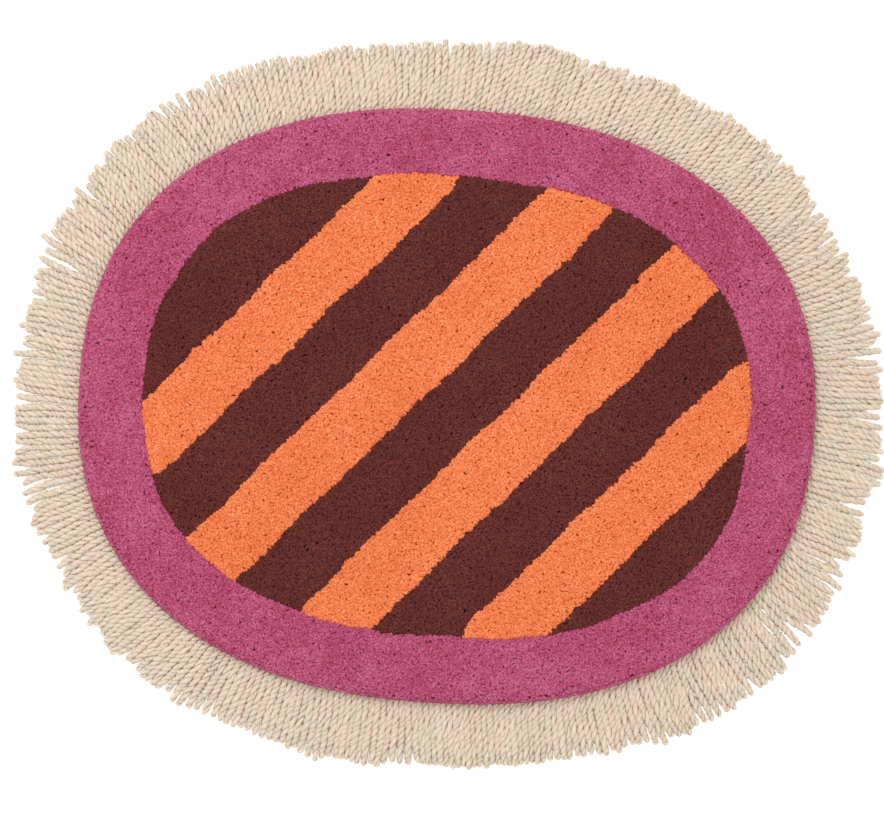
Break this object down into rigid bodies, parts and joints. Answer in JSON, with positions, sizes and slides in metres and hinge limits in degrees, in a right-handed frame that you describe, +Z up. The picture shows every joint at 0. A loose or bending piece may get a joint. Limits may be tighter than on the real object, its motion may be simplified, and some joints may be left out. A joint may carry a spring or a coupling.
{
  "type": "bath mat",
  "caption": "Oval tufted bath mat with a diagonally striped pile field, a plain pile border, a twisted cord fringe all round and an anti-slip backing.",
  "frame": {"origin": "on the floor, under the middle of the mat", "axes": "+X along the mat's long axis, +Y along its short axis, +Z up out of the pile"},
  "size_m": [0.5949, 0.504, 0.015],
  "materials": {
    "pile_magenta": "matte",
    "pile_orange": "matte",
    "pile_maroon": "matte",
    "fringe_cotton": "matte",
    "backing_cloth": "matte",
    "header_cotton": "matte",
    "binding_yarn": "matte",
    "sewing_thread": "satin",
    "latex": "matte"
  },
  "bodies": {
    "root": {"latex_backing": "latex", "tufting_cloth": "backing_cloth", "header_tape": "header_cotton", "header_stitching": "sewing_thread", "edge_binding": "binding_yarn", "pile_border": "pile_magenta", "maroon_stripe_1": "pile_maroon", "maroon_stripe_2": "pile_maroon", "maroon_stripe_3": "pile_maroon", "maroon_stripe_4": "pile_maroon", "maroon_stripe_5": "pile_maroon", "orange_stripe_1": "pile_orange", "orange_stripe_2": "pile_orange", "orange_stripe_3": "pile_orange", "orange_stripe_4": "pile_orange", "fringe_01": "fringe_cotton", "fringe_02": "fringe_cotton", "fringe_03": "fringe_cotton", "fringe_04": "fringe_cotton", "fringe_05": "fringe_cotton", "fringe_06": "fringe_cotton", "fringe_07": "fringe_cotton", "fringe_08": "fringe_cotton", "fringe_09": "fringe_cotton", "fringe_10": "fringe_cotton", "fringe_11": "fringe_cotton", "fringe_12": "fringe_cotton", "fringe_13": "fringe_cotton", "fringe_14": "fringe_cotton", "fringe_15": "fringe_cotton", "fringe_16": "fringe_cotton", "fringe_17": "fringe_cotton", "fringe_18": "fringe_cotton", "fringe_19": "fringe_cotton", "fringe_20": "fringe_cotton", "fringe_21": "fringe_cotton", "fringe_22": "fringe_cotton", "fringe_23": "fringe_cotton", "fringe_24": "fringe_cotton", "fringe_25": "fringe_cotton", "fringe_26": "fringe_cotton", "fringe_27": "fringe_cotton", "fringe_28": "fringe_cotton", "fringe_29": "fringe_cotton", "fringe_30": "fringe_cotton", "fringe_31": "fringe_cotton", "fringe_32": "fringe_cotton", "fringe_33": "fringe_cotton", "fringe_34": "fringe_cotton", "fringe_35": "fringe_cotton", "fringe_36": "fringe_cotton"}
  },
  "joints": []
}
